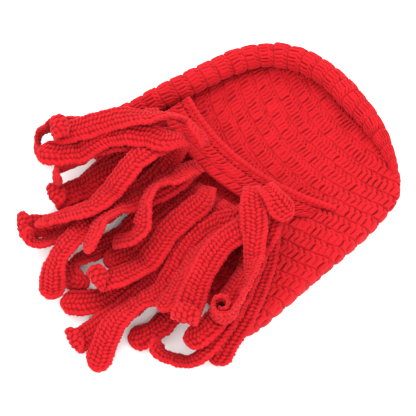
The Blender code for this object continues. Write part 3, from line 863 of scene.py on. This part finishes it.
def shell_top():
    """Points of the hat's upper surface, row by row, and the stitch height there, which also sets
    its painted shade.
    """
    to_crown = np.linspace(0.0, 1.0, int(HAT_LENGTH / PANEL_FINE))
    lengthwise = np.clip(HAT_LENGTH * (1.0 - (1.0 - to_crown) ** 1.25), 0.0, HAT_LENGTH * 0.9995)
    to_side = np.linspace(-1.0, 1.0, int(SHELL_SPAN / PANEL_FINE))
    crosswise = np.sign(to_side) * (1.0 - (1.0 - np.abs(to_side)) ** 1.06)
    share, y = np.meshgrid(crosswise, lengthwise)
    x = shell_outline(share, y)
    border = np.minimum((1.0 - np.abs(share)) * half_width(y), (HAT_LENGTH - y) * 1.2)
    border = np.minimum(border, y * 1.5 + 0.0002)
    fall = dome(np.clip(border / ROUND_OVER, 0.0, 1.0))
    points = np.stack([x, y, shell_base(x, y) * MM * fall], axis=2)
    normal = unit(np.cross(np.gradient(points, axis=1), np.gradient(points, axis=0)))
    normal[..., 2] = np.maximum(normal[..., 2], 0.0)
    top = panel_stitches(x * TO_MM, y * TO_MM)
    chunky = 2.9 + 1.0 * np.clip((x * TO_MM - 25.0) / 55.0, 0.0, 1.0)
    relief = (top - 0.75) * chunky * np.clip(fall * 1.4, 0.3, 1.0)
    points = points + normal * (relief * MM)[..., None]
    points[..., 2] = np.maximum(points[..., 2], 0.0002)
    return points, top


def border_of(grid):
    """The border of a grid of points or numbers, once round."""
    return np.concatenate([grid[0, :-1], grid[:-1, -1], grid[-1, ::-1][:-1], grid[::-1, 0][:-1]])


def shell_piece():
    """The hat's fabric: the stitched upper surface, closed by a flat underside."""
    points, top = shell_top()
    border = border_of(points)
    number = np.arange(top.size).reshape(top.shape)
    corners = (number[:-1, :-1], number[:-1, 1:], number[1:, 1:], number[1:, :-1])
    faces = list(np.stack(corners, axis=2).reshape(-1, 4))
    middle = np.array(UNDERSIDE_MIDDLE)
    layers = [points.reshape(-1, 3)]
    last = border_of(number)
    total = top.size
    for share in UNDERSIDE_RINGS:
        ring = middle + (border - middle) * share
        ring[:, 2] = 0.0
        layers.append(ring)
        here = total + np.arange(len(border))
        total += len(border)
        faces += list(np.stack([last, here, np.roll(here, -1), np.roll(last, -1)], axis=1))
        last = here
    layers.append(middle[None, :])
    faces += list(np.stack([last, np.full(len(last), total), np.roll(last, -1)], axis=1))
    # Painted shade: the stitch height on the upper surface, and a middle shade on the flat underside
    shade_values = np.full(total + 1, 0.4)
    shade_values[: top.size] = (0.05 + 0.95 * top).ravel()
    return build("hat_shell", np.vstack(layers), faces, shade_values, hat_yarn)


# ---------------------------------------------------------------- mask

def mask_piece():
    """The mask band: posts under a row of small holes, thin at its borders."""
    rows = int((MASK_DEPTH * TO_MM + 1.0) / (PANEL_FINE * TO_MM))
    crosswise = np.arange(MASK_FAR_X, MASK_NEAR_X, PANEL_FINE)
    x, share = np.meshgrid(crosswise, np.linspace(0.0, 1.0, rows), indexing="ij")
    a = x * TO_MM
    d = share * (MASK_DEPTH * TO_MM)
    narrow = 1.0 - 0.45 * np.clip((x - 0.040) / 0.032, 0.0, 1.0) ** 1.5
    y = mask_top(x) - (2.0 + share * narrow * (MASK_DEPTH * TO_MM - 2.0)) * MM
    z = mask_height(x) - 2.6 * MM * np.clip((x - 0.050) / 0.022, 0.0, 1.0)
    along = a + 0.30 * d + 0.9 * ripple(a / 14.0, d / 14.0, 1.0)
    off, course = repeat(d - 14.0 + 0.6 * ripple(a / 18.0, 0.0, 2.0), MASK_ROUND)
    top = stitched(along / MASK_POST + 0.5 * (course % 2), off, course, MASK_POST, MASK_ROUND, 5.0)
    hole, _ = repeat(along, MASK_POST)
    top = top - 0.8 * np.exp(-((hole / 0.9) ** 2) - (((d - 6.0) / 1.2) ** 2))
    top = np.clip(top, 0.0, 1.0)
    border = np.minimum(share, 1.0 - share) * (MASK_DEPTH * TO_MM)
    border = np.minimum(border, np.minimum(a - a[0, 0], a[-1, 0] - a))
    fall = dome(np.clip(border / 2.8, 0.0, 1.0))
    upper = np.stack([x, y, z + (2.6 + 2.6 * (top - 0.7)) * fall * MM], axis=2)
    lower = np.stack([x, y, z - 2.4 * fall * MM], axis=2)
    rings = np.concatenate([upper, lower[:, -2:0:-1]], axis=1)
    # Painted shade: the stitch height on the upper face, darkest in the row of holes, and a middle
    # shade underneath
    shade_values = np.concatenate([top, np.full_like(top, 0.4)[:, -2:0:-1]], axis=1)
    return closed_tube("mask_fabric", rings[:, ::-1], shade_values[:, ::-1], mask_yarn)


def edging_piece():
    """The chained rope along the mask's upper edge."""
    x = np.linspace(MASK_FAR_X, MASK_NEAR_X + 0.010, 70)
    over = np.clip((x - MASK_NEAR_X + 0.012) / 0.022, 0.0, 1.0)
    points = np.column_stack([x, mask_top(x), mask_height(x) + EDGING_LIFT + 0.0015 * over])
    line, _, at = evenly(points, (), FINE)
    along = unit(np.gradient(line, axis=0))
    out = unit(np.cross(np.array([0.0, 1.0, 0.0]), along))
    inward = unit(np.cross(along, out))
    out = np.cross(inward, along)
    sides = int(2 * math.pi * EDGING_RADIUS / FINE)
    theta = np.linspace(0, 2 * math.pi, sides, endpoint=False)[None, :]
    a = at[:, None] * TO_MM
    link, _ = repeat(a + 1.8 * np.sin(theta) + 0.4 * ripple(a / 9.0, 0.0, 3.0), ROPE_LINK)
    puff = bead(link, 0.0, 2.4, 1.0)
    strand = np.abs(np.cos(1.5 * theta + 0.35 * a))
    ends = np.clip(np.minimum(a, a[-1] - a) / 3.0, 0.02, 1.0)
    radius = (2.0 + 1.35 * puff + 0.25 * strand) * dome(ends)
    rings = around(line, inward, out, radius, theta)
    # Painted shade between the rope's links
    shade_values = np.broadcast_to(0.1 + 0.9 * puff, radius.shape)
    return closed_tube("mask_rope", rings, shade_values, mask_yarn)


# ---------------------------------------------------------------- build it

def body_with(node):
    """The body that carries this node of the part."""
    for joint_body, names in frame["record"]["behaviour"]["bodies"].items():
        if node in names:
            return joint_body
    return None


shell = shell_piece()
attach(shell, "hat")
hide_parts("back_panel", "near_cheek")

rim = rim_piece()
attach(rim, "hat")
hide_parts("forehead_rim", "far_side_fold")

mask = mask_piece()
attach(mask, "mask")
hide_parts("mask_band")

edging = edging_piece()
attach(edging, "mask")
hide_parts("mask_edging")

# This many points of a strip's centre line lie in its first 28 mm. One that doubled back past that
# point rides whole on its body; the others are left unattached.
ROOT_BEND = int(0.028 / CELL)

# Height of what lies on the table so far, cell by cell. Each strip settles on it and adds to it.
field = hat_heights()
for number, (name, row, root, route, rolls, tip) in enumerate(TENTACLES, 1):
    root_y = mask_top(root * MM) - MASK_DEPTH + ROOT_ROWS[row]
    corners = ((root, root_y / MM),) + route
    centre, heading, pitch, roll, half = lay(corners, rolls, tip)
    piece, length = strip_piece("strip_" + name[-2:], centre, heading, roll, half, float(number))
    body = body_with(name)
    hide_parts(name)
    bend = centre[ROOT_BEND] - centre[0]
    past = (centre[ROOT_BEND:] - centre[0]) @ bend / float(bend @ bend)
    goes_on = past.min() >= 1.0
    if goes_on:
        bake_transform(piece)
    else:
        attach(piece, body)

# ---------------------------------------------------------------- stage, light, camera

FLOOR_Z = -0.0008
FLOOR_HALF = 3.0
plane = bpy.data.meshes.new("floor")
corner_signs = ((-1, -1), (1, -1), (1, 1), (-1, 1))
corners = [(across * FLOOR_HALF, along * FLOOR_HALF, FLOOR_Z) for across, along in corner_signs]
plane.from_pydata(corners, [], [(0, 1, 2, 3)])
floor = bpy.data.objects.new("floor", plane)
bpy.context.scene.collection.objects.link(floor)
paper = bpy.data.materials.new("paper")
paper.use_nodes = True
paper_shader = paper.node_tree.nodes["Principled BSDF"]
paper_shader.inputs["Base Color"].default_value = (0.97, 0.97, 0.97, 1.0)
paper_shader.inputs["Roughness"].default_value = 0.9
plane.materials.append(paper)


def area_light(name, place, target, size, power):
    """A round soft light at this place, turned to the target."""
    data = bpy.data.lights.new(name, "AREA")
    data.shape = "DISK"
    data.size = size
    data.energy = power
    lamp = bpy.data.objects.new(name, data)
    lamp.location = place
    away = np.array(place) - np.array(target)
    lamp.rotation_euler = (
        math.acos(away[2] / np.linalg.norm(away)),
        0.0,
        math.atan2(away[1], away[0]) + math.pi / 2,
    )
    bpy.context.scene.collection.objects.link(lamp)


TARGET = (0.0079, -0.0544, 0.015)
area_light("key", (-0.9, 0.5, 1.9), TARGET, 1.6, 25.0)
area_light("fill", (1.4, -1.2, 1.2), TARGET, 1.8, 17.0)

world = bpy.data.worlds.new("studio")
bpy.context.scene.world = world
world.use_nodes = True
world.node_tree.nodes["Background"].inputs["Color"].default_value = (1.0, 1.0, 1.0, 1.0)
world.node_tree.nodes["Background"].inputs["Strength"].default_value = 1.78
bpy.context.scene.view_settings.view_transform = "Standard"

# Where the camera stands from the target, and how much of the scene it sees across, in m
AZIMUTH = math.radians(54.0)
ELEVATION = math.radians(65.0)
DISTANCE = 1.7
ACROSS = 0.402
SENSOR = 36.0
lens = bpy.data.cameras.new("camera")
lens.sensor_width = SENSOR
lens.lens = SENSOR * DISTANCE / ACROSS
lens.clip_start = 0.05
camera = bpy.data.objects.new("camera", lens)
back = np.array([
    math.sin(AZIMUTH) * math.cos(ELEVATION),
    -math.cos(AZIMUTH) * math.cos(ELEVATION),
    math.sin(ELEVATION)])
camera.location = np.array(TARGET) + DISTANCE * back
camera.rotation_euler = (math.pi / 2 - ELEVATION, 0.0, AZIMUTH)
bpy.context.scene.collection.objects.link(camera)
bpy.context.scene.camera = camera
